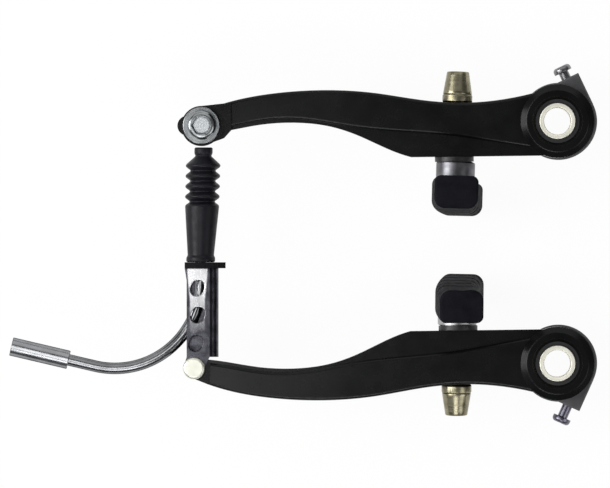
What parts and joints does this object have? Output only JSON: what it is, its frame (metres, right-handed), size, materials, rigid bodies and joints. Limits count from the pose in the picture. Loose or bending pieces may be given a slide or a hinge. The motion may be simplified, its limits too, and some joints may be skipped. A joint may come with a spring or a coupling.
{
  "type": "linear-pull bicycle rim brake",
  "caption": "Linear-pull bicycle rim brake for one wheel: two long black arms with pads, a curved cable noodle in a folded link, a rubber boot and a cable anchor bolt.",
  "frame": {"origin": "on the noodle arm's stud axis, at the back end of its pivot sleeve", "axes": "+Z out of the bicycle along the studs, -X along the arms to their tips, +Y from the noodle arm's stud to the anchor arm's stud"},
  "size_m": [0.1768, 0.1089, 0.0546],
  "materials": {
    "arm_black": "satin black paint",
    "bush_black": "matte",
    "sleeve_plate": "dull zinc plate",
    "housing_plastic": "matte",
    "spring_wire": "drawn wire",
    "screw_zinc": "bright zinc plate",
    "pad_rubber": "matte",
    "stud_steel": "turned",
    "cup_black": "black oxide",
    "dome_steel": "turned",
    "yellow_zinc": "yellow zinc plate",
    "bolt_steel": "bright",
    "link_chrome": "black chrome",
    "noodle_steel": "polished tube",
    "liner_plastic": "smooth",
    "boot_rubber": "matte"
  },
  "bodies": {
    "noodle_fixed_group": {"noodle_pivot_sleeve": "sleeve_plate", "noodle_spring_housing": "housing_plastic"},
    "noodle_arm_group": {"noodle_arm": "arm_black", "noodle_pivot_bush": "bush_black", "noodle_inner_cup_washer": "cup_black", "noodle_outer_cup_washer": "cup_black", "noodle_return_spring": "spring_wire", "link_pin": "bolt_steel"},
    "noodle_pad_group": {"noodle_brake_pad": "pad_rubber", "noodle_pad_stud": "stud_steel", "noodle_inner_dome_washer": "dome_steel", "noodle_outer_dome_washer": "yellow_zinc", "noodle_pad_nut": "yellow_zinc"},
    "noodle_screw_group": {"noodle_adjuster_screw": "screw_zinc"},
    "anchor_fixed_group": {"anchor_pivot_sleeve": "sleeve_plate", "anchor_spring_housing": "housing_plastic"},
    "anchor_arm_group": {"anchor_arm": "arm_black", "anchor_pivot_bush": "bush_black", "anchor_inner_cup_washer": "cup_black", "anchor_outer_cup_washer": "cup_black", "anchor_return_spring": "spring_wire", "cable_anchor_bolt": "bolt_steel", "cable_clamp_washer": "bolt_steel"},
    "anchor_pad_group": {"anchor_brake_pad": "pad_rubber", "anchor_pad_stud": "stud_steel", "anchor_inner_dome_washer": "dome_steel", "anchor_outer_dome_washer": "yellow_zinc", "anchor_pad_nut": "yellow_zinc"},
    "anchor_screw_group": {"anchor_adjuster_screw": "screw_zinc"},
    "link_group": {"noodle_link": "link_chrome"},
    "noodle_group": {"noodle_tube": "noodle_steel", "noodle_ferrule": "noodle_steel", "noodle_liner": "liner_plastic", "cable_boot": "boot_rubber"}
  },
  "joints": [
    {"name": "stud_spacing", "type": "slide", "parent": "noodle_fixed_group", "child": "anchor_fixed_group", "axis": [0, 1, 0], "range_m": [0, 0.012]},
    {"name": "noodle_arm_swing", "type": "hinge", "parent": "noodle_fixed_group", "child": "noodle_arm_group", "pos_m": [0, 0, 0], "axis": [0, 0, 1], "range_deg": [0, 25]},
    {"name": "anchor_arm_swing", "type": "hinge", "parent": "anchor_fixed_group", "child": "anchor_arm_group", "pos_m": [0, 0.0728, 0], "axis": [0, 0, -1], "range_deg": [0, 25]},
    {"name": "link_swing", "type": "hinge", "parent": "noodle_arm_group", "child": "link_group", "pos_m": [-0.10919, -0.00144, 0.015], "axis": [0, 0, 1], "range_deg": [-4, 50]},
    {"name": "noodle_swivel", "type": "hinge", "parent": "link_group", "child": "noodle_group", "pos_m": [-0.1072, 0.0286, 0.015], "axis": [0, 1, 0], "range_deg": [-10, 10]},
    {"name": "noodle_pad_swivel", "type": "hinge", "parent": "noodle_arm_group", "child": "noodle_pad_group", "pos_m": [-0.0302, -0.0004, 0.0142], "axis": [0.0094, 0.9954, 0.0959], "range_deg": [-12, 12]},
    {"name": "anchor_pad_swivel", "type": "hinge", "parent": "anchor_arm_group", "child": "anchor_pad_group", "pos_m": [-0.0302, 0.07244, 0.0142], "axis": [-0.0263, -0.9988, 0.0419], "range_deg": [-12, 12]},
    {"name": "noodle_adjuster_travel", "type": "slide", "parent": "noodle_fixed_group", "child": "noodle_screw_group", "axis": [-0.4106, -0.9118, 0], "range_m": [-0.003, 0.002]},
    {"name": "anchor_adjuster_travel", "type": "slide", "parent": "anchor_fixed_group", "child": "anchor_screw_group", "axis": [-0.4335, 0.9012, 0], "range_m": [-0.001, 0.003]}
  ]
}
